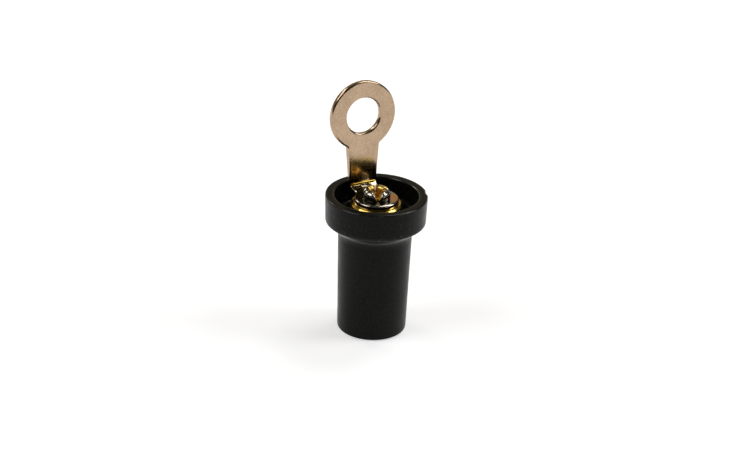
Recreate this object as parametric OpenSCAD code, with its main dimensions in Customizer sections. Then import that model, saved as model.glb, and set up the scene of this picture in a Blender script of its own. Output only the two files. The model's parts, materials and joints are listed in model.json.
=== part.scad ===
// Push-on ignition connector: a black moulded insulator round a brass stud socket,
// with a ring lug riveted to the socket's closed end. It stands on the open end of its barrel.
// The lug's foot points along -Y, its ring stands on the +Y side, and the barrel's axis is Z.

/* [Stud socket] */
// Diameter of the stud that snaps into the socket
stud_d = 6.35; // [5:0.05:8]
// Room round the stud, on the radius
stud_gap = 0.125; // [0.06:0.005:0.3]
// Wall of the brass socket
socket_wall = 1.2; // [1.05:0.05:2]
// Length of the brass socket
socket_h = 21.6; // [18:0.1:30]
// Thickness of the socket's closed end
socket_end_t = 1.6; // [1:0.1:3]
// Flat cut on the outer edge of the closed end
socket_edge = 0.25; // [0.1:0.05:0.5]
// Countersink at the socket's mouth
socket_lead = 0.4; // [0.2:0.05:0.7]
// How much wider the bore is above its guide, on the radius
relief_gap = 0.2; // [0.16:0.01:0.3]
// How far below the spring clip the wider bore starts
relief_drop = 1.5; // [1:0.1:3]

/* [Spring clip] */
// Diameter of the clip's wire
wire_d = 0.7; // [0.5:0.05:0.8]
// Height of the wire above the socket's mouth
clip_h = 8; // [5:0.1:12]
// How far each leg reaches into the stud's path
clip_bite = 0.4; // [0.2:0.05:0.6]
// Bend from the clip's back to each leg, at the middle of the wire
clip_bend_r = 1; // [0.6:0.05:1.4]
// How much thinner the wire draws in its bends, on the radius
clip_bend_thin = 0.01; // [0.005:0.005:0.03]
// Length of each leg past the socket's axis
clip_leg = 1.9; // [1.2:0.1:2.1]
// How deep the wire lies below the socket's outer face
clip_sink = 0.05; // [0.02:0.01:0.15]
// Room round the wire in its groove
clip_gap = 0.05; // [0.03:0.01:0.08]
// Room inside each leg for the wire, in its slot
clip_slot_gap = 0.1; // [0.08:0.01:0.2]
// Room past each leg's end for the wire to spread
clip_end_room = 0.6; // [0.3:0.05:1]

/* [Insulator] */
// Room between the socket and the barrel, on the radius
socket_gap = 0.05; // [0.02:0.01:0.2]
// Wall of the barrel at its open end
barrel_wall_bottom = 1.55; // [1.2:0.05:2.5]
// Wall of the barrel where it starts to flare
barrel_wall_top = 1.9; // [1.5:0.05:3]
// Thickness of the bottom lip that the socket stands on
lip_t = 2.5; // [1.5:0.1:4]
// Room round the stud in the bottom lip, on the radius
mouth_gap = 0.525; // [0.3:0.025:0.8]
// Bevel at the mouth of the bottom lip
mouth_bevel = 0.5; // [0.2:0.05:0.8]
// Rounding of the barrel's lower edge
foot_edge_r = 0.4; // [0.2:0.05:0.6]
// Height of the rim above the socket's closed end
rim_rise = 1.5; // [1:0.1:2.5]
// Height of the collar
collar_h = 5; // [4:0.1:7]
// Depth of the cup below the rim
cup_depth = 4; // [3:0.1:4.4]
// Width of the cup round the socket
cup_gap = 2.8; // [2.4:0.1:4]
// Wall of the cup at the rim
rim_wall = 1.6; // [1.2:0.05:2.5]
// How much narrower the collar's lower edge is, on the radius
collar_draft = 0.15; // [0:0.05:0.4]
// Height of the hollow flare from the barrel out to the collar
flare_h = 3; // [2.4:0.1:3.6]
// Flat underside left between the flare and the collar's lower edge
flare_lip = 0.2; // [0.1:0.05:0.4]
// Fillet at the cup's floor
floor_fillet_r = 0.5; // [0.2:0.05:0.8]
// Rounding of the rim's two edges
rim_edge_r = 0.3; // [0.15:0.05:0.5]
// Rounding of the collar's lower edge
collar_edge_r = 0.25; // [0.1:0.05:0.4]
// Place of the nick in the rim, round from +X
nick_turn = -17; // [-60:1:60]
// Depth of the nick in the rim's corner
nick_depth = 0.28; // [0.1:0.02:0.4]
// Radius of the nick's hollow
nick_r = 4; // [2:0.5:6]

/* [Ring lug] */
// Thickness of the lug's sheet metal
lug_t = 0.9; // [0.6:0.05:1.2]
// Diameter of the lug's round foot
foot_d = 7.8; // [7:0.1:8.6]
// Width of the shank at the bend
shank_bottom_w = 5.2; // [4.4:0.1:6]
// Width of the shank at the ring
shank_top_w = 6.2; // [5:0.1:7]
// Inner radius of the bend
bend_r = 0.8; // [0.4:0.05:1.2]
// Room between the shank's back corners and the cup's wall
shank_gap = 0.3; // [0.25:0.05:0.8]
// How far the shank stands to the side of the rivet
lug_shift = 0.3; // [0:0.05:0.5]
// Lean of the shank, away from the axis
lean = 3.5; // [0:0.5:6]
// Height of the ring's centre above the foot, along the shank
ring_rise = 12.7; // [10:0.1:16]
// Outer diameter of the ring
ring_d = 12.4; // [10.5:0.1:14]
// Hole in the ring
ring_hole_d = 6.4; // [4.3:0.1:8.4]
// Fillet between the ring and the shank
ring_fillet_r = 0.6; // [0.3:0.05:1]
// Fillet between the foot and the bend's tab
foot_fillet_r = 0.8; // [0.3:0.05:1.2]

/* [Rivet] */
// Diameter of the rivet's shank
rivet_d = 2.9; // [2.6:0.1:3.4]
// Room round the rivet's shank, on the radius
rivet_gap = 0.05; // [0.02:0.01:0.1]
// Wall of the rivet's hollow end
rivet_wall = 0.5; // [0.35:0.05:0.7]
// How far the hollow reaches below the foot's upper face
rivet_hollow = 1.6; // [1:0.1:2.2]
// Room between the rivet's inner head and the socket's wall
rivet_head_gap = 0.5; // [0.3:0.05:1]
// Thickness of the rivet's inner head
rivet_head_t = 0.8; // [0.5:0.1:1.2]
// Thickness of the rolled lobes, out from the hollow
lobe_t = 1.5; // [1.2:0.05:1.7]
// Height of the rolled lobes above the foot
lobe_h = 1.6; // [1.2:0.05:2]
// Number of lobes that the rivet's end is split into
lobe_count = 4; // [3:1:6]
// Place of the first split, round from +X
split_turn = -110; // [-180:5:180]
// Width of the first split at its top
split_top_w = 1.4; // [1:0.1:1.6]
// Width of the other splits at their top
slit_top_w = 0.5; // [0.3:0.05:0.8]
// Width of every split at its root
split_root_w = 0.2; // [0.1:0.05:0.3]
// Height of every split's root above the foot
split_root_h = 0.3; // [0.1:0.05:0.5]

/* [Hidden] */
$fn = 96;
over = 1;

bore_r = stud_d / 2 + stud_gap;
socket_r = bore_r + socket_wall;
socket_top_z = lip_t + socket_h;
end_z = socket_top_z - socket_end_t;

wire_r = wire_d / 2;
clip_z = lip_t + clip_h;
clip_back_r = socket_r - clip_sink - wire_r;
leg_x = stud_d / 2 - clip_bite + wire_r;
clip_turn = acos((leg_x - clip_bend_r) / (clip_back_r - clip_bend_r));
bend_y = (clip_back_r - clip_bend_r) * sin(clip_turn);
groove_r = wire_r + clip_gap;
relief_r = bore_r + relief_gap;
relief_z = clip_z - relief_drop;
// How far each bend of the clip runs into the wire on both sides of it, in degrees
bend_lap = 3;

barrel_bore_r = socket_r + socket_gap;
barrel_bottom_r = barrel_bore_r + barrel_wall_bottom;
barrel_top_r = barrel_bore_r + barrel_wall_top;
mouth_r = stud_d / 2 + mouth_gap;
rim_z = socket_top_z + rim_rise;
collar_z = rim_z - collar_h;
cup_floor_z = rim_z - cup_depth;
cup_r = socket_r + cup_gap;
collar_top_r = cup_r + rim_wall;
collar_bottom_r = collar_top_r - collar_draft;
flare_z = collar_z - flare_h;
flare_w = collar_bottom_r - collar_edge_r - flare_lip - barrel_top_r;
flare_r = (pow(flare_w, 2) + pow(flare_h, 2)) / (2 * flare_w);

foot_z = socket_top_z + lug_t;
foot_r = foot_d / 2;
shank_half_w = shank_bottom_w / 2;
shank_y = sqrt(pow(cup_r - shank_gap, 2) - pow(shank_half_w + lug_shift, 2)) - lug_t;
bend_angle = 90 - lean;
bend_run = bend_r * tan(bend_angle / 2);
bend_start_y = shank_y - bend_run;
bend_axis_z = foot_z + bend_r;
ring_r = ring_d / 2;
neck_half_w = shank_top_w / 2;
neck_h = ring_rise - bend_run - sqrt(pow(ring_r, 2) - pow(neck_half_w, 2));
shank_taper = atan((neck_half_w - shank_half_w) / neck_h);

rivet_r = rivet_d / 2;
rivet_hole_r = rivet_r + rivet_gap;
rivet_bore_r = rivet_r - rivet_wall;
rivet_head_r = bore_r - rivet_head_gap;
lobe_r = lobe_t / 2;
lobe_top_z = foot_z + lobe_h;
lobe_axis_z = lobe_top_z - lobe_r;
lobe_ring_r = rivet_bore_r + lobe_r;

// Cuts the corner at the origin round: the piece lies towards -X and -Y of it.
module round_corner(r) {
    difference() {
        translate([-r, -r]) square(r + over);
        translate([-r, -r]) circle(r);
    }
}

// Fills the inner corner at the origin: the walls lie along -X and +Y of it.
module corner_fillet(r) {
    difference() {
        translate([-over, -r]) square([r + over, r + over]);
        translate([r, -r]) circle(r);
    }
}

// Widens a bore of radius r towards its mouth at height z.
module lead_in(r, z, depth) {
    polygon([[0, z], [r + depth, z], [r, z + depth], [0, z + depth]]);
}

module insulator_outline() {
    difference() {
        union() {
            polygon([[0, 0], [barrel_bottom_r, 0], [barrel_top_r, flare_z], [0, flare_z]]);
            difference() {
                polygon([[0, collar_z], [collar_bottom_r, collar_z], [collar_top_r, rim_z], [0, rim_z]]);
                translate([collar_bottom_r, collar_z]) mirror([0, 1]) round_corner(collar_edge_r);
            }
            difference() {
                translate([0, flare_z]) square([barrel_top_r + flare_r, flare_h]);
                translate([barrel_top_r + flare_r, flare_z]) circle(flare_r);
            }
        }
        translate([barrel_bottom_r, 0]) mirror([0, 1]) round_corner(foot_edge_r);
        translate([collar_top_r, rim_z]) round_corner(rim_edge_r);
    }
}

module insulator_hollow() {
    difference() {
        translate([-over, cup_floor_z]) square([cup_r + over, cup_depth + over]);
        translate([cup_r, cup_floor_z]) mirror([1, 0]) mirror([0, 1]) corner_fillet(floor_fillet_r);
    }
    translate([cup_r, rim_z]) mirror([1, 0]) round_corner(rim_edge_r);
    translate([-over, lip_t]) square([barrel_bore_r + over, cup_floor_z - lip_t + over]);
    translate([-over, -over]) square([mouth_r + over, lip_t + 2 * over]);
    lead_in(mouth_r, 0, mouth_bevel);
}

module rim_nick() {
    reach = (nick_r - nick_depth) / sqrt(2);
    rotate(nick_turn) translate([collar_top_r + reach, 0, rim_z + reach]) sphere(nick_r);
}

module insulator_body() {
    color("#1c1c1b") difference() {
        rotate_extrude() difference() {
            insulator_outline();
            insulator_hollow();
        }
        rim_nick();
    }
}

module contact_socket() {
    color("#c9a24a") difference() {
        rotate_extrude() difference() {
            translate([0, lip_t]) square([socket_r, socket_h]);
            translate([-over, lip_t - over]) square([bore_r + over, relief_z - lip_t + over]);
            translate([-over, relief_z]) square([relief_r + over, end_z - relief_z]);
            translate([-over, end_z - over]) square([rivet_hole_r + over, socket_end_t + 2 * over]);
            lead_in(bore_r, lip_t, socket_lead);
            polygon([[socket_r, socket_top_z - socket_edge], [socket_r + over, socket_top_z - socket_edge],
                [socket_r + over, socket_top_z + over], [socket_r - socket_edge, socket_top_z + over],
                [socket_r - socket_edge, socket_top_z]]);
            translate([clip_back_r - groove_r, clip_z - groove_r]) square([socket_r, 2 * groove_r]);
        }
        for (side = [0, 1]) mirror([side, 0, 0]) leg_slot();
    }
}

// One slot through the socket's wall, where a leg of the clip dips into the bore.
module leg_slot() {
    front_y = -clip_leg - clip_end_room;
    back_y = bend_y + clip_bend_r * sin(clip_turn);
    translate([leg_x - wire_r - clip_slot_gap, front_y, clip_z - groove_r])
        cube([socket_r, back_y - front_y, 2 * groove_r]);
}

module spring_clip() {
    color("#b9b6ae") translate([0, 0, clip_z]) {
        rotate(clip_turn) rotate_extrude(angle = 180 - 2 * clip_turn)
            translate([clip_back_r, 0]) circle(wire_r);
        for (side = [0, 1]) mirror([side, 0, 0]) clip_leg_half();
    }
}

// One leg with its bend, whose thinner wire runs a few degrees into the back and the leg.
module clip_leg_half() {
    translate([leg_x - clip_bend_r, bend_y, 0]) rotate(-bend_lap)
        rotate_extrude(angle = clip_turn + 2 * bend_lap)
            translate([clip_bend_r, 0]) circle(wire_r - clip_bend_thin);
    translate([leg_x, bend_y, 0]) rotate([90, 0, 0]) cylinder(r = wire_r, h = bend_y + clip_leg);
    translate([leg_x, -clip_leg, 0]) sphere(wire_r);
}

// Outline of a tapered tab that ends in a round eye. It starts on the X axis, where the bend ends.
module eye_outline(rise, eye_r, hole_r, left_w, right_w, taper, fillet_r) {
    difference() {
        union() {
            translate([0, rise]) circle(eye_r);
            mirror([1, 0]) eye_side(rise, eye_r, left_w, taper, fillet_r);
            eye_side(rise, eye_r, right_w, taper, fillet_r);
        }
        translate([0, rise]) circle(hole_r);
    }
}

// One side of that tab, with the fillet where it meets the eye. It laps over the other side.
module eye_side(rise, eye_r, start_half_w, taper, fillet_r) {
    // The fillet's centre lies one fillet radius outside the tab's edge and the eye.
    edge_x = start_half_w + fillet_r / cos(taper);
    along = rise * cos(taper) - edge_x * sin(taper);
    off = rise * sin(taper) + edge_x * cos(taper);
    slide = along - sqrt(pow(eye_r + fillet_r, 2) - pow(off, 2));
    centre = [edge_x + slide * sin(taper), slide * cos(taper)];
    eye_touch = centre + ([0, rise] - centre) * fillet_r / (eye_r + fillet_r);
    edge_touch = centre + fillet_r * [-cos(taper), sin(taper)];
    lap = start_half_w / 2;
    difference() {
        polygon([[-lap, 0], [start_half_w, 0], edge_touch, eye_touch, [-lap, rise]]);
        translate(centre) circle(fillet_r);
    }
}

module lug_foot() {
    translate([0, bend_start_y, socket_top_z]) mirror([0, 1, 0]) linear_extrude(lug_t)
        eye_outline(bend_start_y, foot_r, rivet_hole_r, shank_half_w - lug_shift, shank_half_w + lug_shift,
            0, foot_fillet_r);
}

// The bend is a slice of a ring: it turns from the flat foot up into the leaning shank.
module lug_bend() {
    translate([lug_shift - shank_half_w, bend_start_y, bend_axis_z]) rotate([0, 90, 0])
        rotate_extrude(angle = bend_angle) translate([bend_r, 0]) square([lug_t, shank_bottom_w]);
}

module lug_ring() {
    translate([lug_shift, bend_start_y, bend_axis_z]) rotate([bend_angle, 0, 0])
        translate([0, 0, -bend_r - lug_t]) linear_extrude(lug_t)
            eye_outline(ring_rise - bend_run, ring_r, ring_hole_d / 2, shank_half_w, shank_half_w,
                shank_taper, ring_fillet_r);
}

module ring_lug() {
    color("#b8a08c") {
        lug_foot();
        lug_bend();
        lug_ring();
    }
}

// One split of the rivet's end, along +X, as wide as top_w at its top.
module rivet_split(top_w) {
    half_top = top_w / 2;
    half_root = split_root_w / 2;
    root_z = foot_z + split_root_h;
    rotate([90, 0, 90]) linear_extrude(lobe_ring_r + lobe_t)
        polygon([[-half_root, root_z], [half_root, root_z], [half_top, lobe_top_z],
            [half_top, lobe_top_z + over], [-half_top, lobe_top_z + over], [-half_top, lobe_top_z]]);
}

// Section of the rivet's rolled end: an arch that stands on the foot.
module lobe_section() {
    intersection() {
        union() {
            translate([rivet_bore_r, foot_z]) square([lobe_t, lobe_axis_z - foot_z]);
            translate([lobe_ring_r, lobe_axis_z]) circle(lobe_r);
        }
        translate([0, foot_z]) square([lobe_ring_r + lobe_t, lobe_h + over]);
    }
}

module rivet() {
    color("#a89a86") difference() {
        rotate_extrude() difference() {
            union() {
                translate([0, end_z - rivet_head_t]) square([rivet_head_r, rivet_head_t]);
                translate([0, end_z - rivet_head_t]) square([rivet_r, lobe_axis_z - end_z + rivet_head_t]);
                lobe_section();
            }
            translate([-over, foot_z - rivet_hollow])
                square([rivet_bore_r + over, rivet_hollow + lobe_h + over]);
        }
        rotate(split_turn) rivet_split(split_top_w);
        for (i = [1:lobe_count - 1]) rotate(split_turn + i * 360 / lobe_count) rivet_split(slit_top_w);
    }
}

insulator_body();
contact_socket();
spring_clip();
ring_lug();
rivet();
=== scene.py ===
"""Looks of the push-on ignition connector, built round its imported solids."""

import json
import math

import bmesh
import bpy
from mathutils import Matrix, Vector, geometry, noise


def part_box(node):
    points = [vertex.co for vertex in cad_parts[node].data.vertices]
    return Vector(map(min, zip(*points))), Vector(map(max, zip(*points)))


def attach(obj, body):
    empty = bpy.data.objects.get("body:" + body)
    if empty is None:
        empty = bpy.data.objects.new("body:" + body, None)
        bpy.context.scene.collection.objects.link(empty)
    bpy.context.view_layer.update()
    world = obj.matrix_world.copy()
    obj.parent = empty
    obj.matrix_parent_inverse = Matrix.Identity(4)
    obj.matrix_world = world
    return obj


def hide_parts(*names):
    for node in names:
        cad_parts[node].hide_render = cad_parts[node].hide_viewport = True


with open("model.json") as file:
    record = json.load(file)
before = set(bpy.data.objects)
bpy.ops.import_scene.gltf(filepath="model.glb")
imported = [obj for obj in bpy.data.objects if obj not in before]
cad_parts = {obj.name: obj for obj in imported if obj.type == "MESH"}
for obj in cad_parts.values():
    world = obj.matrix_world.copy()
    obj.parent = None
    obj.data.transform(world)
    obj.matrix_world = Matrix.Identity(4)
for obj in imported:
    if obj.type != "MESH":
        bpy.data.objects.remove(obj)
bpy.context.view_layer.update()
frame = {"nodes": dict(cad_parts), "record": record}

# Lengths below are in millimetres, and a piece's mesh is scaled to metres when it is made.
MM = 0.001
mounts = {mount["name"]: mount for mount in frame["record"]["mounts"]}


def box_mm(node):
    """Lowest and highest corner of a node."""
    low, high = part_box(node)
    return low / MM, high / MM


insulator_low, insulator_high = box_mm("insulator_body")
socket_low = box_mm("contact_socket")[0]
lug_low, lug_high = box_mm("ring_lug")
rivet_low, rivet_high = box_mm("rivet")
clip_low, clip_high = box_mm("spring_clip")

# Points nearer than merge_distance are one point, and what a union leaves narrower than sliver is closed up.
merge_distance = 1e-5
sliver = 0.001

# Insulator
rim_z = insulator_high.z
rim_edge_r = 0.3
collar_h = 5.0
collar_z = rim_z - collar_h
collar_r = 8.9
collar_draft = 0.15
collar_bottom_r = collar_r - collar_draft
collar_edge_r = 0.25
barrel_top_r = 6.45
barrel_bottom_r = 6.1
barrel_edge_r = 0.4
barrel_bore_r = 4.55
bore_edge_r = 0.12
flare_h = 3.0
flare_lip = 0.2
flare_step = 0.2
cup_r = 7.3
cup_depth = 4.0
cup_z = rim_z - cup_depth
cup_corner_r = 0.9
lip_z = socket_low.z
lip_root_r = 0.05
lip_edge_r = 0.1
mouth_r = mounts["stud_mouth"]["dims"]["r_mm"]
mouth_bevel = 0.5
mouth_edge_r = 0.12
moulding_step = 0.45
moulding_turns = 288
# Walls further out than uneven_from_r sink in by up to uneven_depth, in waves about uneven_size long.
uneven_from_r = barrel_bottom_r - 0.01
uneven_depth = 0.025
uneven_size = 3.0
# Hollows in the rim's outer edge, the nick first and then small chips:
# place round from +X in degrees, depth, radius, and slope from level in degrees.
rim_nick = (-18.5, 0.42, 2.2, 15)
rim_chips = [
    (-152, 0.10, 0.5, 45),
    (-148.5, 0.07, 0.35, 45),
    (-131, 0.05, 0.4, 45),
    (-62, 0.06, 0.45, 45),
    (-41, 0.05, 0.3, 45),
]
worn_gloss = 0.5
flare_gloss = 0.5
cup_edge_gloss = 0.9

# Ring lug
lug_t = mounts["ring_hole"]["dims"]["length_mm"]
ring_normal = Vector(mounts["ring_hole"]["axis"])
ring_front = Vector(mounts["ring_hole"]["pos_m"]) / MM + ring_normal * lug_t / 2
ring_hole_r = mounts["ring_hole"]["dims"]["r_mm"]
ring_r = (lug_high.x - lug_low.x) / 2
lug_shift = ring_front.x
foot_r = -lug_low.y
foot_z = lug_low.z + lug_t
shank_bottom_w = 5.2
shank_top_w = 6.2
bend_r = 0.8
bend_rows = 12
bend_turn_step = 8
ring_fillet_r = 0.6
foot_fillet_r = 0.8
front_edge_r = 0.34
back_edge_r = 0.06
edge_steps = 4
lug_edge_step = 0.12
fill_spacing = 0.45
fill_tolerance = 1e-6

# Rivet
rivet_hole_r = 1.5
rivet_r = 1.45
rivet_root_r = 0.02
rivet_bore_r = 0.95
# The tube below the lobes is a little narrower, so that their walls cross and don't lie in one face.
rivet_tube_r = rivet_bore_r - 0.03
rivet_hollow = 1.6
rivet_hollow_corner_r = 0.15
rivet_head_t = 0.8
rivet_head_r = rivet_high.x
rivet_head_edge_r = 0.15
rivet_seat_edge_r = 0.1
tube_outer_edge_r = 0.05
tube_inner_edge_r = 0.1
rivet_step = 0.4
rivet_turns = 96
rivet_crease = 50
lobe_t = 1.5
lobe_h = rivet_high.z - foot_z
lobe_crest_r = rivet_bore_r + 0.6
lobe_crest_flat = 0.02
lobe_inner_foot_r = 0.05
lobe_outer_foot_r = 0.12
lobe_step = 0.15
lobe_rows = 44
# A lobe's section shrinks to lobe_end_size at its two ends.
# It stays full for longer with a larger first power and a smaller second one.
lobe_end_size = 0.05
lobe_end_powers = (6, 0.25)
split_turn = -110.0
split_top_ws = [1.4, 0.5, 0.5, 0.5]
split_root_w = 0.2
split_root_h = 0.3
split_steepest = 0.9
# Brass shows in the hollow out to bare_r, and by rubbed_more further on the lobe that lies in rubbed_way.
bare_r = lobe_crest_r + 0.1
bare_fade = 0.3
rubbed_way = Vector((0.48, 0.88))
rubbed_more = 0.6

# Spring clip
wire_r = (clip_high.z - clip_low.z) / 2
wire_around = 28
wire_end_turns = (75, 60, 45, 30, 15)
clip_z = (clip_high.z + clip_low.z) / 2
clip_back_r = clip_high.y - wire_r
clip_back_step = 0.2
clip_bend_r = 1.0
clip_bend_step = 0.1
clip_leg_x = clip_high.x - wire_r
clip_leg_end_y = clip_low.y + wire_r

# Places on a surface, each as its middle, its radius and the width over which it fades out:
# glossy from the mould in the cup's corner, painted shade and rubbed thin on the foot, and painted shade on
# the bend.
glossy_place = ((-2.0, 6.9, cup_z), 1.3, 0.5)
# Painted shade: a dark mottled patch over most of the foot, standing in for the dark things it mirrors
painted_shade_place = ((-0.6, 0.1, foot_z), 2.9, 0.9)
rubbed_place = ((2.75, -1.5, foot_z), 1.4, 0.3)
# Painted shade on the bend: two dark spots that break up its highlight
painted_bend_shade_places = [
    ((-1.7, 5.05, foot_z + 0.1), 1.2, 0.3),
    ((1.15, 5.05, foot_z + 0.1), 0.35, 0.3),
]

# Where a look changes, as the value at which it is one thing and the value at which it is the other:
# distances from worn edges, from the cup's corner and from a split, and places along an axis.
edge_wear = (0.08, 0.35)
cup_edge_wear = (0.1, 0.35)
corner_off = (0.9 * cup_corner_r, 1.2 * cup_corner_r)
split_off = (0.02, 0.12)
rubbed_off = (0.3, 0.9)
outside_r = (barrel_bore_r + 0.2, barrel_top_r - 0.2)
flare_gloss_bottom_z = (collar_z - 1.8, collar_z - 1.0)
flare_gloss_top_z = (collar_z, collar_z + 0.2)
scuff_top_z = (rim_z - 1.0, rim_z - 2.4)
scuff_bottom_z = (collar_z - 0.6, collar_z)
shank_z = (foot_z + 0.6, foot_z + 2.2)
# Painted brass reflection: a gold-brown tint on the lower front of the shank, below this height and between
# these places across
brass_reflection_top_z = (foot_z + 5.9, foot_z + 4.2)
brass_reflection_bottom_z = (foot_z + 0.6, foot_z + 1.0)
brass_reflection_right_x = (2.6, 1.4)
brass_reflection_left_x = (-2.3, -1.9)
front_depth = (0.2 * lug_t, 0.6 * lug_t)
# Painted shade on the rivet, darker towards the foot
rivet_painted_shade_z = (foot_z + 1.3, foot_z + 0.5)
# Shares of the way round the bend
bare_bend_start = (0.42, 0.55)
bare_bend_end = (0.9, 1.1)
dent_start = (0.0, 0.2)
dent_end = (0.35, 0.55)

# Colours, where two are the ends of a mottled range
resin = ((0.0022, 0.0022, 0.0019, 1), (0.0070, 0.0068, 0.0060, 1))
resin_worn = (0.030, 0.028, 0.024, 1)
resin_dust = (0.06, 0.057, 0.051, 1)
resin_scuff = (0.034, 0.033, 0.030, 1)
warm_nickel = ((0.370, 0.264, 0.175, 1), (0.497, 0.361, 0.245, 1))
foot_nickel = ((0.44, 0.385, 0.32, 1), (0.54, 0.475, 0.40, 1))
head_nickel = ((0.34, 0.31, 0.26, 1), (0.48, 0.44, 0.38, 1))
# Painted brass reflection: the gold-brown put low on the front of the shank
painted_brass_reflection = (0.47, 0.31, 0.09, 1)
# Painted shade for the bend, which darkens parts of its highlight
painted_bend_shade = (0.035, 0.029, 0.020, 1)
nickel_pit = (0.20, 0.15, 0.11, 1)
# Painted shade: a dark tone on the foot and low on the rivet
painted_shade_tone = (0.09, 0.085, 0.065, 1)
copper = (0.76, 0.38, 0.21, 1)
bend_brass = (0.84, 0.55, 0.11, 1)
head_brass = ((0.72, 0.47, 0.10, 1), (0.84, 0.59, 0.16, 1))
turned_brass = ((0.72, 0.48, 0.11, 1), (0.46, 0.30, 0.06, 1))
drawn_steel = ((0.50, 0.49, 0.47, 1), (0.62, 0.61, 0.58, 1))

# Camera, fitted to the photograph
PHOTO_W = 752
camera_turn = 28.6
camera_elevation = 25.82
camera_roll = 2.4
camera_distance = 315.9
camera_px_per_mm = 5.757
camera_target_right = 0.115
camera_target_z = 19.657
camera_sensor_w = 36
camera_clip_start = 0.01

# Lamps, in metres: name, degrees round from +X, degrees up, width, height and watts
lamp_distance = 1.4
lamps = [
    ("right", -25, 40, 0.50, 0.70, 6.6),
    ("left", 168, 47, 0.80, 0.70, 6.6),
    ("top", 25, 62, 0.50, 0.50, 5.0),
    ("front", -63, 10, 0.50, 0.26, 0.85),
    ("back", 107, 34, 0.36, 0.30, 2.0),
]

# Surroundings: the room turns into the wall between two shares of the way towards +Y.
room_tone = (0.05, 0.05, 0.05, 1)
wall_tone = (0.37, 0.32, 0.21, 1)
wall_range = (0.35, 0.85)
floor_half_m = 12.0
floor_gap_m = 0.00002
floor_tones = ((0.80, 0.80, 0.80, 1), (0.82, 0.82, 0.82, 1))
floor_lift = 0.46
white = (1, 1, 1, 1)


# Mesh helpers

def add_object(name, data):
    """A new object in the scene."""
    made = bpy.data.objects.new(name, data)
    bpy.context.scene.collection.objects.link(made)
    return made


def clean_mesh(name, verts, faces):
    """A mesh from points in millimetres: merged where they meet, none loose, its faces turned outwards."""
    mesh = bpy.data.meshes.new(name)
    mesh.from_pydata([Vector(v) * MM for v in verts], [], faces)
    shape = bmesh.new()
    shape.from_mesh(mesh)
    bmesh.ops.remove_doubles(shape, verts=shape.verts, dist=merge_distance * MM)
    loose = [v for v in shape.verts if not v.link_faces]
    bmesh.ops.delete(shape, geom=loose, context="VERTS")
    bmesh.ops.recalc_face_normals(shape, faces=shape.faces)
    shape.to_mesh(mesh)
    shape.free()
    return mesh


def union_of(solids):
    """The first solid's shape with the others joined to it."""
    for other in solids[1:]:
        union = solids[0].modifiers.new("union", "BOOLEAN")
        union.operation = "UNION"
        union.solver = "EXACT"
        union.object = other
    joined = solids[0].evaluated_get(bpy.context.evaluated_depsgraph_get())
    shape = bmesh.new()
    shape.from_mesh(joined.to_mesh())
    joined.to_mesh_clear()
    return shape


def united(shells):
    """Points and faces of one closed shell, from several of points and faces that overlap."""
    solids = [add_object("shell", clean_mesh("shell", verts, faces)) for verts, faces in shells]
    shape = union_of(solids)
    for solid in solids:
        bpy.data.meshes.remove(solid.data)
    bmesh.ops.triangulate(shape, faces=shape.faces)
    bmesh.ops.remove_doubles(shape, verts=shape.verts, dist=sliver * MM)
    bmesh.ops.dissolve_degenerate(shape, edges=shape.edges, dist=sliver * MM)
    shape.verts.index_update()
    verts = [v.co / MM for v in shape.verts]
    faces = [tuple(v.index for v in face.verts) for face in shape.faces]
    shape.free()
    return verts, faces


def new_piece(name, verts, faces, material):
    """A mesh object from points in millimetres, on the part's only body."""
    mesh = clean_mesh(name, verts, faces)
    mesh.shade_smooth()
    mesh.materials.append(material)
    piece = add_object(name, mesh)
    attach(piece, "root")
    return piece


def weighted_normals(piece):
    """Keeps flat faces flat beside their rounded edges."""
    modifier = piece.modifiers.new("weighted_normals", "WEIGHTED_NORMAL")
    modifier.keep_sharp = True
    modifier.weight = 50


def point_attribute(piece, name, value_of):
    """A number at each point of a mesh, worked out from its place in millimetres."""
    attribute = piece.data.attributes.new(name, "FLOAT", "POINT")
    for vertex in piece.data.vertices:
        attribute.data[vertex.index].value = value_of(vertex.co / MM)


def smooth_step(low, high, value):
    """0 up to low, 1 from high on, and a smooth rise between them."""
    share = min(1.0, max(0.0, (value - low) / (high - low)))
    return share * share * (3 - 2 * share)


def arc(centre, radius, start, end, longest):
    """Points on an arc, angles in radians, no further apart than longest."""
    count = max(2, math.ceil(abs(end - start) * radius / longest))
    angles = [start + (end - start) * i / count for i in range(count + 1)]
    return [Vector((centre[0] + radius * math.cos(a), centre[1] + radius * math.sin(a))) for a in angles]


def rounded_outline(corners, longest):
    """A closed outline whose corners are (x, y, radius), with no stretch longer than longest."""
    path = []
    for i, (x, y, radius) in enumerate(corners):
        here = Vector((x, y))
        if radius == 0:
            path.append(here)
            continue
        back = (Vector(corners[i - 1][:2]) - here).normalized()
        ahead = (Vector(corners[(i + 1) % len(corners)][:2]) - here).normalized()
        half = back.angle(ahead) / 2
        centre = here + (back + ahead).normalized() * radius / math.sin(half)
        start = here + back * radius / math.tan(half) - centre
        turn = math.pi - 2 * half
        if back.cross(ahead) > 0:
            turn = -turn
        first = math.atan2(start.y, start.x)
        path += arc(centre, radius, first, first + turn, min(longest, radius / 4))
    return divided(path, longest)


def divided(path, longest):
    """The closed path with points added so that no step is longer than longest."""
    out = []
    for i, here in enumerate(path):
        ahead = path[(i + 1) % len(path)]
        count = max(1, math.ceil((ahead - here).length / longest))
        out += [here.lerp(ahead, k / count) for k in range(count)]
    return out


def lathe(path, turns):
    """Points and faces of a closed outline of (radius, height) turned round Z, with none along the axis."""
    count = len(path)
    verts, faces = [], []
    for i in range(turns):
        angle = 2 * math.pi * i / turns
        verts += [Vector((p.x * math.cos(angle), p.x * math.sin(angle), p.y)) for p in path]
        for k in range(count):
            ahead = (k + 1) % count
            if path[k].x > 0 or path[ahead].x > 0:
                a, b = i * count, (i + 1) % turns * count
                faces.append((a + k, b + k, b + ahead, a + ahead))
    return verts, faces


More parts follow.
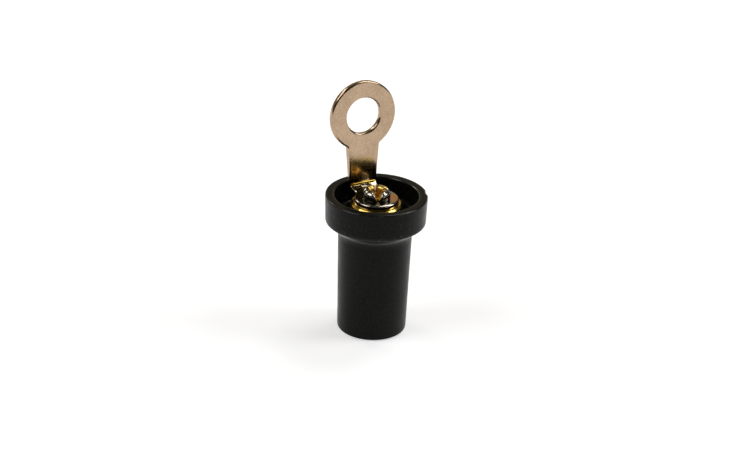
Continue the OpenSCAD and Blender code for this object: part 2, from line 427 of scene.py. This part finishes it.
def strip_faces(first, rows, around):
    """Faces between rows of points that start at point first, each row a ring of that many points."""
    faces = []
    for row in range(rows - 1):
        a, b = first + row * around, first + (row + 1) * around
        faces += [(a + k, a + (k + 1) % around, b + (k + 1) % around, b + k) for k in range(around)]
    return faces


def tube_faces(rows, around):
    """Faces of a tube of such rows, closed at both ends."""
    start = tuple(range(around))
    end = tuple((rows - 1) * around + k for k in reversed(range(around)))
    return strip_faces(0, rows, around) + [start, end]


# Shader helpers

class Shader:
    """A material's nodes, added one at a time. An input is a constant or another node's output."""

    def __init__(self, name):
        self.material = bpy.data.materials.new(name)
        self.material.use_nodes = True
        self.tree = self.material.node_tree
        self.tree.nodes.clear()
        self.output = self.node("ShaderNodeOutputMaterial")
        self.place = self.node("ShaderNodeTexCoord").outputs["Object"]

    def node(self, kind, settings=None, **inputs):
        """A new node with its settings and inputs."""
        made = self.tree.nodes.new(kind)
        for key, value in (settings or {}).items():
            setattr(made, key, value)
        for key, value in inputs.items():
            self.set(made, key, value)
        return made

    def set(self, node, key, value):
        """Key is the input's name with _ for spaces, or its number after a leading letter i."""
        numbered = key[0] == "i" and key[1:].isdigit()
        socket = node.inputs[int(key[1:])] if numbered else node.inputs[key.replace("_", " ")]
        if isinstance(value, bpy.types.NodeSocket):
            self.tree.links.new(value, socket)
        else:
            socket.default_value = value

    def noise(self, size, detail=3.0, roughness=0.55, stretch=(1, 1, 1)):
        """Noise from 0 to 1 with features of that size in millimetres, longer where stretch is small."""
        scaled = self.node("ShaderNodeVectorMath", {"operation": "MULTIPLY"}, i0=self.place, i1=stretch)
        made = self.node("ShaderNodeTexNoise", Vector=scaled.outputs[0], Scale=1 / (size * MM), Detail=detail,
                         Roughness=roughness)
        return made.outputs["Fac"]

    def patches(self, size, low, high, to_low=0.0, to_high=1.0):
        """Noise of that size, mapped from low and high to to_low and to_high."""
        return self.ramp(self.noise(size), low, high, to_low, to_high)

    def specks(self, spacing, size):
        """1 in round specks of that size, scattered about that far apart in millimetres, and 0 elsewhere."""
        cells = self.node("ShaderNodeTexVoronoi", Vector=self.place, Scale=1 / (spacing * MM))
        return self.ramp(cells.outputs["Distance"], size / spacing, 0.5 * size / spacing)

    def across(self, axis, low, high):
        """0 at low and 1 at high along an axis, both in millimetres."""
        place = self.node("ShaderNodeSeparateXYZ", i0=self.place)
        return self.ramp(place.outputs[axis], low * MM, high * MM)

    def near(self, point, radius, soft):
        """1 within radius of a point, falling to 0 over the next soft, in millimetres."""
        centre = Vector(point) * MM
        off = self.node("ShaderNodeVectorMath", {"operation": "DISTANCE"}, i0=self.place, i1=centre)
        return self.ramp(off.outputs["Value"], (radius + soft) * MM, radius * MM)

    def ramp(self, value, low, high, to_low=0.0, to_high=1.0):
        """Value mapped smoothly from low and high to to_low and to_high."""
        made = self.node("ShaderNodeMapRange", {"interpolation_type": "SMOOTHSTEP"}, Value=value)
        for key, number in zip(("From Min", "From Max", "To Min", "To Max"), (low, high, to_low, to_high)):
            made.inputs[key].default_value = number
        return made.outputs["Result"]

    def math(self, operation, a, b):
        """Two numbers put together."""
        return self.node("ShaderNodeMath", {"operation": operation}, i0=a, i1=b).outputs[0]

    def times(self, a, b):
        """Product of two numbers."""
        return self.math("MULTIPLY", a, b)

    def plus(self, a, b):
        """Sum of two numbers."""
        return self.math("ADD", a, b)

    def mix(self, share, low, high):
        """A colour between two others, each a colour or an output."""
        made = self.node("ShaderNodeMix", {"data_type": "RGBA"})
        self.set(made, "i0", share)
        self.set(made, "i6", low)
        self.set(made, "i7", high)
        return made.outputs[2]

    def attribute(self, name):
        """A number that the mesh carries at its points."""
        return self.node("ShaderNodeAttribute", {"attribute_name": name}).outputs["Fac"]

    def bump(self, height, depth):
        """A normal from a height of 0 to 1 that stands for depth millimetres."""
        return self.node("ShaderNodeBump", Height=height, Strength=1.0, Distance=depth * MM).outputs["Normal"]

    def surface(self, **inputs):
        """The finished material."""
        made = self.node("ShaderNodeBsdfPrincipled", **inputs)
        self.tree.links.new(made.outputs[0], self.output.inputs["Surface"])
        return self.material


# Materials

def moulded_black():
    """Black moulded resin: satin, faintly mottled, with specks, scuffs low on the collar and worn edges."""
    s = Shader("moulded_black")
    wear = s.times(s.attribute("edge"), s.patches(0.7, 0.45, 0.7))
    dust = s.times(s.specks(0.8, 0.09), s.patches(1.6, 0.5, 0.65))
    low = s.times(s.across("Z", *scuff_top_z), s.across("Z", *scuff_bottom_z))
    scuffs = s.times(s.specks(0.9, 0.24), s.patches(1.2, 0.42, 0.58))
    body = s.mix(s.patches(0.5, 0.3, 0.7), *resin)
    worn = s.mix(wear, body, resin_worn)
    dusty = s.mix(dust, worn, resin_dust)
    scuffed = s.mix(s.times(scuffs, low), dusty, resin_scuff)
    polish = s.times(s.attribute("corner"), s.near(*glossy_place))
    relief = s.plus(s.times(s.noise(0.9), 0.7), s.times(s.noise(0.12), 0.3))
    return s.surface(Base_Color=scuffed, Roughness=s.patches(2.2, 0.3, 0.7, 0.30, 0.38),
                     Specular_IOR_Level=0.10, Coat_Weight=s.math("MAXIMUM", s.attribute("gloss"), polish),
                     Coat_Roughness=0.08, Normal=s.bump(relief, 0.02))


def lug_colour(s, cloud, upright):
    """The lug's plate: greyer on the foot than above, with a painted brass reflection low on the shank,
    painted shade on the foot and on the bend, a rubbed copper patch, pits and a bare bend.
    """
    clean = s.mix(upright, s.mix(cloud, *foot_nickel), s.mix(cloud, *warm_nickel))
    # Painted brass reflection: a patchy gold-brown tint low on the front of the shank, in the middle of its
    # width
    middle = s.times(s.across("X", *brass_reflection_right_x), s.across("X", *brass_reflection_left_x))
    low = s.times(s.across("Z", *brass_reflection_top_z), s.attribute("front"))
    patchy = s.times(s.patches(1.1, 0.3, 0.6, 0.5, 0.9), s.across("Z", *brass_reflection_bottom_z))
    plate = s.mix(s.times(s.times(low, middle), patchy), clean, painted_brass_reflection)
    # Painted shade: the foot darkened in a mottled patch, standing in for the dark things it mirrors
    painted_shade = s.times(s.near(*painted_shade_place), s.patches(0.9, 0.25, 0.55, 0.5, 0.85))
    plate = s.mix(painted_shade, plate, painted_shade_tone)
    # Painted shade: dark spots on the bend break up its highlight
    for place in painted_bend_shade_places:
        plate = s.mix(s.near(*place), plate, painted_bend_shade)
    rubbed = s.times(s.near(*rubbed_place), s.patches(0.7, 0.3, 0.45))
    plate = s.mix(rubbed, plate, copper)
    pits = s.times(s.specks(1.1, 0.10), s.patches(2.0, 0.5, 0.6))
    plate = s.mix(pits, plate, nickel_pit)
    bare = s.times(s.attribute("bend"), s.patches(0.9, 0.25, 0.5, 0.6, 1.0))
    return s.mix(bare, plate, bend_brass)


def lug_nickel():
    """Warm nickel plate on stamped sheet: satin and mottled, with fine scratches and a painted brass
    reflection.
    """
    s = Shader("lug_nickel")
    blotch = s.plus(s.times(s.noise(2.6), 0.4), s.times(s.noise(0.3), 0.6))
    cloud = s.ramp(blotch, 0.32, 0.68)
    upright = s.across("Z", *shank_z)
    along = s.noise(0.05, detail=2, stretch=(1, 1, 0.06))
    across = s.noise(0.06, detail=2, stretch=(0.05, 1, 1))
    scratch = s.plus(s.ramp(along, 0.62, 0.75), s.ramp(across, 0.66, 0.78))
    satin = s.plus(s.ramp(upright, 0.0, 1.0, 0.08, 0.12), s.times(cloud, 0.04))
    rough = s.plus(satin, s.times(scratch, 0.04))
    ripple = s.plus(s.times(s.noise(1.4), 0.010), s.times(along, 0.002))
    dents = s.times(s.attribute("fold"), s.times(s.noise(1.3, detail=1), 0.08))
    return s.surface(Base_Color=lug_colour(s, cloud, upright), Metallic=1.0, Roughness=rough,
                     Normal=s.bump(s.plus(ripple, dents), 1.0))


def rivet_nickel():
    """Bright nickel plate outside with painted shade towards the foot, bare brass in the hollow and the
    splits.
    """
    s = Shader("rivet_nickel")
    cloud = s.noise(0.8)
    inside = s.attribute("inside")
    # Painted shade: the plate darkens towards the foot
    painted_shade = s.times(s.across("Z", *rivet_painted_shade_z), s.ramp(cloud, 0.3, 0.6, 0.5, 0.85))
    plate = s.mix(painted_shade, s.mix(cloud, *head_nickel), painted_shade_tone)
    colour = s.mix(inside, plate, s.mix(cloud, *head_brass))
    rough = s.plus(s.ramp(inside, 0.0, 1.0, 0.10, 0.27), s.times(cloud, 0.10))
    return s.surface(Base_Color=colour, Metallic=1.0, Roughness=rough, Normal=s.bump(s.noise(0.5), 0.008))


def socket_brass():
    """Turned brass with fine rings and a little tarnish."""
    s = Shader("socket_brass")
    rings = s.noise(0.08, detail=2, stretch=(0.05, 0.05, 1))
    tarnish = s.patches(1.1, 0.36, 0.62)
    return s.surface(Base_Color=s.mix(tarnish, *turned_brass), Metallic=1.0,
                     Roughness=s.ramp(tarnish, 0.0, 1.0, 0.12, 0.26), Normal=s.bump(rings, 0.006))


def spring_steel():
    """Drawn wire with fine lines along it."""
    s = Shader("spring_steel")
    lines = s.noise(0.04, detail=2, stretch=(1, 0.08, 1))
    return s.surface(Base_Color=s.mix(s.noise(0.9), *drawn_steel), Metallic=1.0,
                     Roughness=s.ramp(lines, 0.3, 0.7, 0.2, 0.34), Normal=s.bump(lines, 0.004))


def floor_white():
    """A white floor that takes the part's shadow. What the camera and reflections see is lifted to white."""
    s = Shader("floor_white")
    diffuse = s.node("ShaderNodeBsdfDiffuse", Color=s.mix(s.noise(60.0), *floor_tones))
    rays = s.node("ShaderNodeLightPath").outputs
    seen = s.math("MAXIMUM", rays["Is Camera Ray"], rays["Is Glossy Ray"])
    seen = s.math("MAXIMUM", seen, rays["Is Transmission Ray"])
    lift = s.node("ShaderNodeEmission", Color=white, Strength=s.times(seen, floor_lift))
    both = s.node("ShaderNodeAddShader", i0=diffuse.outputs[0], i1=lift.outputs[0])
    s.tree.links.new(both.outputs[0], s.output.inputs["Surface"])
    return s.material


# Insulator piece

def scooped(verts, centre, radius):
    """The points with those inside a ball moved out onto it, as where material has chipped away."""
    out = []
    for v in verts:
        reach = v - centre
        if reach.length < radius:
            v = centre + reach.normalized() * radius
        out.append(v)
    return out


def rim_hollow(turn, depth, radius, slope):
    """Centre of a ball that cuts depth into the rim's outer corner, turn degrees round from +X."""
    angle, rise = math.radians(turn), math.radians(slope)
    out = collar_r + (radius - depth) * math.cos(rise)
    up = rim_z + (radius - depth) * math.sin(rise)
    return Vector((out * math.cos(angle), out * math.sin(angle), up))


def collar_flare():
    """Points of the hollow curve from the barrel out to the collar's underside."""
    width = collar_bottom_r - collar_edge_r - flare_lip - barrel_top_r
    radius = (width ** 2 + flare_h ** 2) / (2 * width)
    end = math.pi - math.atan2(flare_h, radius - width)
    curve = arc((barrel_top_r + radius, collar_z - flare_h), radius, math.pi, end, flare_step)
    return [(p.x, p.y, 0) for p in curve]


def insulator(material):
    """The moulded body, with softened edges, a nick and small chips in its rim and slightly uneven walls."""
    section = rounded_outline([
        (mouth_r + mouth_bevel, 0, mouth_edge_r), (barrel_bottom_r, 0, barrel_edge_r),
        *collar_flare(),
        (collar_bottom_r, collar_z, collar_edge_r), (collar_r, rim_z, rim_edge_r), (cup_r, rim_z, rim_edge_r),
        (cup_r, cup_z, cup_corner_r), (barrel_bore_r, cup_z, bore_edge_r), (barrel_bore_r, lip_z, lip_root_r),
        (mouth_r, lip_z, lip_edge_r), (mouth_r, mouth_bevel, mouth_edge_r)], moulding_step)
    verts, faces = lathe(section, moulding_turns)
    for turn, depth, radius, slope in [rim_nick] + rim_chips:
        verts = scooped(verts, rim_hollow(turn, depth, radius, slope), radius)
    for v in verts:
        sink = uneven_depth * (0.5 + 0.5 * noise.noise(v / uneven_size))
        reach = v.xy.length
        if reach > uneven_from_r:
            v.xy *= (reach - sink) / reach
    piece = new_piece("insulator_moulding", verts, faces, material)
    point_attribute(piece, "edge", rim_wear)
    point_attribute(piece, "gloss", rubbed_gloss)
    point_attribute(piece, "corner", cup_corner)
    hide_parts("insulator_body")


def rim_wear(p):
    """How worn the moulding is at a point: the rim's two edges and the collar's lower edge."""
    reach = p.xy.length
    edges = [(collar_r, rim_z), (cup_r, rim_z), (collar_bottom_r, collar_z)]
    near = min(math.hypot(reach - r, p.z - z) for r, z in edges)
    return 1 - smooth_step(*edge_wear, near)


def rubbed_gloss(p):
    """How glossy the moulding is at a point: its worn edges, and where the mould was polished."""
    reach = p.xy.length
    above = smooth_step(*flare_gloss_bottom_z, p.z)
    below = 1 - smooth_step(*flare_gloss_top_z, p.z)
    outside = smooth_step(*outside_r, reach)
    cup_edge = 1 - smooth_step(*cup_edge_wear, math.hypot(reach - cup_r, p.z - rim_z))
    return max(worn_gloss * rim_wear(p), flare_gloss * above * below * outside, cup_edge_gloss * cup_edge)


def cup_corner(p):
    """1 in the corner between the cup's wall and its floor, and 0 away from it."""
    off = math.hypot(p.xy.length - cup_r, p.z - cup_z)
    return 1 - smooth_step(*corner_off, off)


# Lug piece

def eye_side(rise, eye_r, half_w, taper, fillet_r):
    """Right edge of a tab that runs up from the X axis into a round eye, as far as the eye's far point."""
    edge_x = half_w + fillet_r / math.cos(taper)
    along = rise * math.cos(taper) - edge_x * math.sin(taper)
    off = rise * math.sin(taper) + edge_x * math.cos(taper)
    slide = along - math.sqrt((eye_r + fillet_r) ** 2 - off ** 2)
    centre = Vector((edge_x + slide * math.sin(taper), slide * math.cos(taper)))
    to_eye = math.atan2(rise - centre.y, -centre.x)
    fillet = arc(centre, fillet_r, math.pi - taper, to_eye, lug_edge_step)
    eye = arc((0, rise), eye_r, to_eye - math.pi, math.pi / 2, lug_edge_step)
    return [Vector((half_w, 0))] + fillet + eye[1:]


class LugSheet:
    """The lug as a flat blank: x across, s along its upper face from the foot's centre, depth below it."""

    def __init__(self):
        lean = math.atan2(ring_normal.z, -ring_normal.y)
        self.turn = math.pi / 2 - lean
        corner_y = ring_front.y - (ring_front.z - foot_z) * math.tan(lean)
        bend_run = bend_r * math.tan(self.turn / 2)
        self.bend_start = corner_y - bend_run
        self.bend_end = self.bend_start + bend_r * self.turn
        rise = (ring_front.z - foot_z) / math.cos(lean) - bend_run
        self.ring_s = self.bend_end + rise

    def place(self, x, s, depth):
        """The point in the part's frame."""
        radius = bend_r + depth
        angle = min(max((s - self.bend_start) / bend_r, 0.0), self.turn)
        y = self.bend_start + radius * math.sin(angle)
        z = foot_z + bend_r - radius * math.cos(angle)
        flat = min(s - self.bend_start, 0.0)
        beyond = max(s - self.bend_end, 0.0)
        return Vector((x, y + flat + beyond * math.cos(angle), z + beyond * math.sin(angle)))

    def bend_share(self, p):
        """How far round the bend a point of the part lies, from 0 on the foot to 1 on the shank."""
        angle = math.atan2(p.y - self.bend_start, foot_z + bend_r - p.z)
        return angle / self.turn

    def outline(self):
        """The blank's edge, anticlockwise from the foot's tip."""
        half_w = shank_bottom_w / 2
        rise = self.ring_s - self.bend_end
        neck = rise - math.sqrt(ring_r ** 2 - (shank_top_w / 2) ** 2)
        taper = math.atan((shank_top_w / 2 - half_w) / neck)
        edges = []
        for side in (1, -1):
            foot = eye_side(self.bend_start, foot_r, half_w + side * lug_shift, 0.0, foot_fillet_r)
            ring = eye_side(rise, ring_r, half_w, taper, ring_fillet_r)
            edge = [Vector((side * p.x, self.bend_start - p.y)) for p in reversed(foot)]
            edge += [Vector((lug_shift + side * p.x, self.bend_end + p.y)) for p in ring]
            edges.append(edge)
        right, left = edges
        bend_step = bend_r * math.radians(bend_turn_step)
        return divided(right + left[-2:0:-1], bend_step * 2)

    def holes(self):
        """Each hole as (centre, radius)."""
        return [(Vector((0, 0)), rivet_hole_r), (Vector((lug_shift, self.ring_s)), ring_hole_r)]

    def rows(self):
        """Places along the blank for rows of points, close together where it bends."""
        count = int((self.ring_s + ring_r + foot_r) / fill_spacing) + 1
        rows = [-foot_r + fill_spacing * i for i in range(count)]
        rows = [s for s in rows if not self.bend_start < s < self.bend_end]
        bend = self.bend_end - self.bend_start
        return rows + [self.bend_start + bend * i / bend_rows for i in range(bend_rows + 1)]


def inset(loop, distance):
    """An anticlockwise loop moved inwards by distance, or outwards if that is negative."""
    out = []
    for i, p in enumerate(loop):
        along = (loop[(i + 1) % len(loop)] - loop[i - 1]).normalized()
        out.append(p + Vector((-along.y, along.x)) * distance)
    return out


def edge_profile():
    """(inset, depth) from the front face round the edge to the back face of the sheet."""
    quarter = [math.pi / 2 * i / edge_steps for i in range(edge_steps + 1)]
    front = [(front_edge_r * (1 - math.sin(a)), front_edge_r * (1 - math.cos(a))) for a in quarter]
    back = [(back_edge_r * (1 - math.cos(a)), lug_t - back_edge_r * (1 - math.sin(a))) for a in quarter]
    middle = [(0.0, lug_t / 2)]
    return front + middle + back


def inside(point, loop):
    """Whether a point lies inside a closed loop."""
    odd = False
    for i, a in enumerate(loop):
        b = loop[i - 1]
        if (a.y > point.y) != (b.y > point.y):
            odd ^= point.x < (b.x - a.x) * (point.y - a.y) / (b.y - a.y) + a.x
    return odd


def grid_points(outer, holes, sheet):
    """Points in rows inside an outline, clear of its edge and its holes."""
    loops = [outer] + holes
    columns = int((ring_r + lug_shift) / fill_spacing)
    points = []
    for s in sheet.rows():
        for i in range(-columns, columns + 1):
            p = Vector((i * fill_spacing, s))
            clear = min((p - q).length for loop in loops for q in loop) > fill_spacing / 3
            if clear and inside(p, outer) and not any(inside(p, hole) for hole in holes):
                points.append(p)
    return points


def filled(outer, holes, sheet):
    """Points and triangles that fill an outline with holes."""
    points, edges = [], []
    for loop in [outer] + holes:
        first, count = len(points), len(loop)
        points += loop
        edges += [(first + i, first + (i + 1) % count) for i in range(count)]
    points += grid_points(outer, holes, sheet)
    made, _, triangles, *_ = geometry.delaunay_2d_cdt(points, edges, [], 1, fill_tolerance)
    keep = []
    for t in triangles:
        middle = sum((made[i] for i in t), Vector((0, 0))) / len(t)
        if not any(inside(middle, hole) for hole in holes):
            keep.append(tuple(t))
    return made, keep


def bend_wear(share):
    """How far the plating has cracked off at a place round the bend: most in its upper half."""
    return smooth_step(*bare_bend_start, share) * (1 - smooth_step(*bare_bend_end, share))


def bend_fold(share):
    """1 in the lower half of the bend, falling to 0 at the foot and above."""
    return smooth_step(*dent_start, share) * (1 - smooth_step(*dent_end, share))


def front_face(p):
    """1 at the front of the upright sheet and 0 at its back."""
    depth = (ring_front - p).dot(ring_normal)
    return 1 - smooth_step(*front_depth, depth)


def lug(material):
    """The stamped lug: one bent sheet with edges rolled over by the die."""
    sheet = LugSheet()
    loops = [(sheet.outline(), 1)]
    for centre, radius in sheet.holes():
        loops.append((arc(centre, radius, 0, 2 * math.pi, lug_edge_step)[:-1], -1))
    profile = edge_profile()
    verts, faces = [], []
    for loop, sign in loops:
        faces += strip_faces(len(verts), len(profile), len(loop))
        for distance, depth in profile:
            verts += [sheet.place(p.x, p.y, depth) for p in inset(loop, sign * distance)]
    for distance, depth in (profile[0], profile[-1]):
        edges = [inset(loop, sign * distance) for loop, sign in loops]
        points, triangles = filled(edges[0], edges[1:], sheet)
        first = len(verts)
        verts += [sheet.place(p.x, p.y, depth) for p in points]
        faces += [tuple(first + i for i in t) for t in triangles]
    piece = new_piece("ring_lug_sheet", verts, faces, material)
    point_attribute(piece, "bend", lambda p: bend_wear(sheet.bend_share(p)))
    point_attribute(piece, "fold", lambda p: bend_fold(sheet.bend_share(p)))
    point_attribute(piece, "front", front_face)
    weighted_normals(piece)
    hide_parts("ring_lug")


# Rivet piece

def split_half_width(top_w, height):
    """Half of a split's width in the rivet's end at a height."""
    root_z = foot_z + split_root_h
    share = min(max((height - root_z) / (rivet_high.z - root_z), 0.0), 1.0)
    return (split_root_w + (top_w - split_root_w) * share) / 2


def split_angle(i):
    """Direction of a split, round from +X."""
    return math.radians(split_turn) + 2 * math.pi * i / len(split_top_ws)


def lobe_section():
    """An arch as (radius, height above the foot), steeper towards the hollow than on its outer side."""
    outer_r = rivet_bore_r + lobe_t
    outer_round = outer_r - lobe_crest_r - lobe_crest_flat
    inner_round = lobe_crest_r - rivet_bore_r - lobe_crest_flat
    return rounded_outline([
        (rivet_bore_r, 0, lobe_inner_foot_r), (outer_r, 0, lobe_outer_foot_r),
        (outer_r, lobe_h, outer_round), (rivet_bore_r, lobe_h, inner_round)], lobe_step)


def lobe_size(share):
    """Size of a lobe's section at a share of the way from one end to the other."""
    full, soft = lobe_end_powers
    return lobe_end_size + (1 - lobe_end_size) * (1 - abs(2 * share - 1) ** full) ** soft


def rolled_lobe(i):
    """The lobe between split i and the next, rolled over onto the foot, with rounded ends."""
    section = lobe_section()
    widths = [split_top_ws[i], split_top_ws[(i + 1) % len(split_top_ws)]]
    verts = []
    for row in range(lobe_rows + 1):
        share = (1 - math.cos(math.pi * row / lobe_rows)) / 2
        size = lobe_size(share)
        for p in section:
            reach = lobe_crest_r + size * (p.x - lobe_crest_r)
            height = foot_z + size * p.y
            gaps = [math.asin(min(split_half_width(w, height) / reach, split_steepest)) for w in widths]
            first, last = split_angle(i) + gaps[0], split_angle(i + 1) - gaps[1]
            angle = first + (last - first) * share
            verts.append(Vector((reach * math.cos(angle), reach * math.sin(angle), height)))
    return verts, tube_faces(lobe_rows + 1, len(section))


def bare_brass(p):
    """How far the plating is missing at a point of the rivet: in the hollow, on one lobe, in the splits."""
    reach = p.xy.length
    rubbed = smooth_step(*rubbed_off, p.xy.dot(rubbed_way))
    end_r = bare_r + rubbed_more * rubbed
    bare = 1 - smooth_step(end_r - bare_fade, end_r, reach)
    if p.z > foot_z:
        for i, top_w in enumerate(split_top_ws):
            off = math.atan2(p.y, p.x) - split_angle(i)
            if math.cos(off) > 0:
                beyond = abs(reach * math.sin(off)) - split_half_width(top_w, p.z)
                bare = max(bare, 1 - smooth_step(*split_off, beyond))
    return bare


def rivet(material):
    """The hollow-ended rivet: a head inside the socket, a shank and lobes rolled over the lug's foot."""
    head_z = rivet_low.z
    seat_z = head_z + rivet_head_t
    floor_z = foot_z - rivet_hollow
    tube_z = foot_z + split_root_h
    section = rounded_outline([
        (0, head_z, 0), (rivet_head_r, head_z, rivet_head_edge_r), (rivet_head_r, seat_z, rivet_seat_edge_r),
        (rivet_r, seat_z, rivet_root_r), (rivet_r, tube_z, tube_outer_edge_r),
        (rivet_tube_r, tube_z, tube_inner_edge_r), (rivet_tube_r, floor_z, rivet_hollow_corner_r),
        (0, floor_z, 0)], rivet_step)
    lobes = [rolled_lobe(i) for i in range(len(split_top_ws))]
    verts, faces = united([lathe(section, rivet_turns)] + lobes)
    piece = new_piece("rivet_star", verts, faces, material)
    piece.data.set_sharp_from_angle(angle=math.radians(rivet_crease))
    point_attribute(piece, "inside", bare_brass)
    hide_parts("rivet")


# Clip piece and socket

def clip_path():
    """Middle of the clip's wire, level: up one leg, round the back and down the other leg."""
    reach = clip_back_r - clip_bend_r
    turn = math.acos((clip_leg_x - clip_bend_r) / reach)
    centre = (clip_leg_x - clip_bend_r, reach * math.sin(turn))
    bend = arc(centre, clip_bend_r, 0, turn, clip_bend_step)
    back = arc((0, 0), clip_back_r, turn, math.pi - turn, clip_back_step)
    right = [Vector((clip_leg_x, clip_leg_end_y))] + bend
    left = [Vector((-p.x, p.y)) for p in reversed(right)]
    return right + back[1:-1] + left


def wire_rings(path):
    """(middle, direction, radius) of each ring of points along the wire, smaller at its rounded ends."""
    last = len(path) - 1
    ways = [(path[min(i + 1, last)] - path[max(i - 1, 0)]).normalized() for i in range(len(path))]
    ends = [(wire_r * math.sin(a), wire_r * math.cos(a)) for a in map(math.radians, wire_end_turns)]
    rings = [(path[0] - ways[0] * out, ways[0], radius) for out, radius in ends]
    rings += [(p, way, wire_r) for p, way in zip(path, ways)]
    rings += [(path[-1] + ways[-1] * out, ways[-1], radius) for out, radius in reversed(ends)]
    return rings


def spring(material):
    """The clip: round wire with rounded ends."""
    rings = wire_rings(clip_path())
    verts = []
    for middle, way, radius in rings:
        side = Vector((-way.y, way.x))
        for k in range(wire_around):
            turn = 2 * math.pi * k / wire_around
            off = middle + side * radius * math.cos(turn)
            verts.append(Vector((off.x, off.y, clip_z + radius * math.sin(turn))))
    piece = new_piece("spring_wire", verts, tube_faces(len(rings), wire_around), material)
    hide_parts("spring_clip")


def dress_node(node, material):
    """Gives a solid that stays as it is a finer material."""
    solid = frame["nodes"][node]
    solid.data.materials.clear()
    solid.data.materials.append(material)


# Stage

def floor(material):
    """A wide floor at the height that the part stands on."""
    half = floor_half_m
    mesh = bpy.data.meshes.new("floor")
    corners = [(-half, -half, 0), (half, -half, 0), (half, half, 0), (-half, half, 0)]
    mesh.from_pydata(corners, [], [(0, 1, 2, 3)])
    mesh.materials.append(material)
    piece = add_object("floor", mesh)
    piece.location.z = insulator_low.z * MM - floor_gap_m


def softbox(name, turn, rise, width, height, watts):
    """A lamp that faces the part from turn degrees round from +X and rise degrees up."""
    lamp = bpy.data.lights.new(name, "AREA")
    lamp.shape = "RECTANGLE"
    lamp.size = width
    lamp.size_y = height
    lamp.energy = watts
    across, up = math.radians(turn), math.radians(rise)
    away = Vector((math.cos(up) * math.cos(across), math.cos(up) * math.sin(across), math.sin(up)))
    made = add_object(name, lamp)
    made.location = Vector((0, 0, rim_z * MM)) + away * lamp_distance
    made.rotation_euler = away.to_track_quat("Z", "Y").to_euler()


def sky():
    """A plain surrounding: a dim room with a warm wall behind the part."""
    world = bpy.data.worlds.new("studio")
    bpy.context.scene.world = world
    world.use_nodes = True
    tree = world.node_tree
    tree.nodes.clear()
    way = tree.nodes.new("ShaderNodeSeparateXYZ")
    tree.links.new(tree.nodes.new("ShaderNodeTexCoord").outputs["Generated"], way.inputs[0])
    shade = tree.nodes.new("ShaderNodeMapRange")
    shade.interpolation_type = "SMOOTHSTEP"
    shade.inputs["From Min"].default_value = wall_range[0]
    shade.inputs["From Max"].default_value = wall_range[1]
    tree.links.new(way.outputs["Y"], shade.inputs["Value"])
    tone = tree.nodes.new("ShaderNodeMix")
    tone.data_type = "RGBA"
    tone.inputs[6].default_value = room_tone
    tone.inputs[7].default_value = wall_tone
    tree.links.new(shade.outputs["Result"], tone.inputs[0])
    light = tree.nodes.new("ShaderNodeBackground")
    tree.links.new(tone.outputs[2], light.inputs["Color"])
    tree.links.new(light.outputs[0], tree.nodes.new("ShaderNodeOutputWorld").inputs["Surface"])


def camera():
    """The photograph's camera: turned round the part, raised, and rolled a little."""
    turn, rise, roll = (math.radians(a) for a in (camera_turn, camera_elevation, camera_roll))
    ahead = Vector((math.sin(turn) * math.cos(rise), math.cos(turn) * math.cos(rise), -math.sin(rise)))
    right = Vector((math.cos(turn), -math.sin(turn), 0))
    up = right.cross(ahead)
    target = right * camera_target_right + Vector((0, 0, camera_target_z))
    across = math.cos(roll) * right + math.sin(roll) * up
    upward = math.cos(roll) * up - math.sin(roll) * right
    lens = bpy.data.cameras.new("camera")
    lens.sensor_width = camera_sensor_w
    lens.lens = camera_px_per_mm * camera_distance * lens.sensor_width / PHOTO_W
    lens.clip_start = camera_clip_start
    made = add_object("camera", lens)
    turned = Matrix((across, upward, -ahead)).transposed()
    made.matrix_world = Matrix.Translation((target - ahead * camera_distance) * MM) @ turned.to_4x4()
    bpy.context.scene.camera = made


camera()
sky()
for lamp_values in lamps:
    softbox(*lamp_values)
floor(floor_white())
insulator(moulded_black())
lug(lug_nickel())
rivet(rivet_nickel())
dress_node("contact_socket", socket_brass())
spring(spring_steel())
bpy.context.scene.view_settings.view_transform = "Standard"
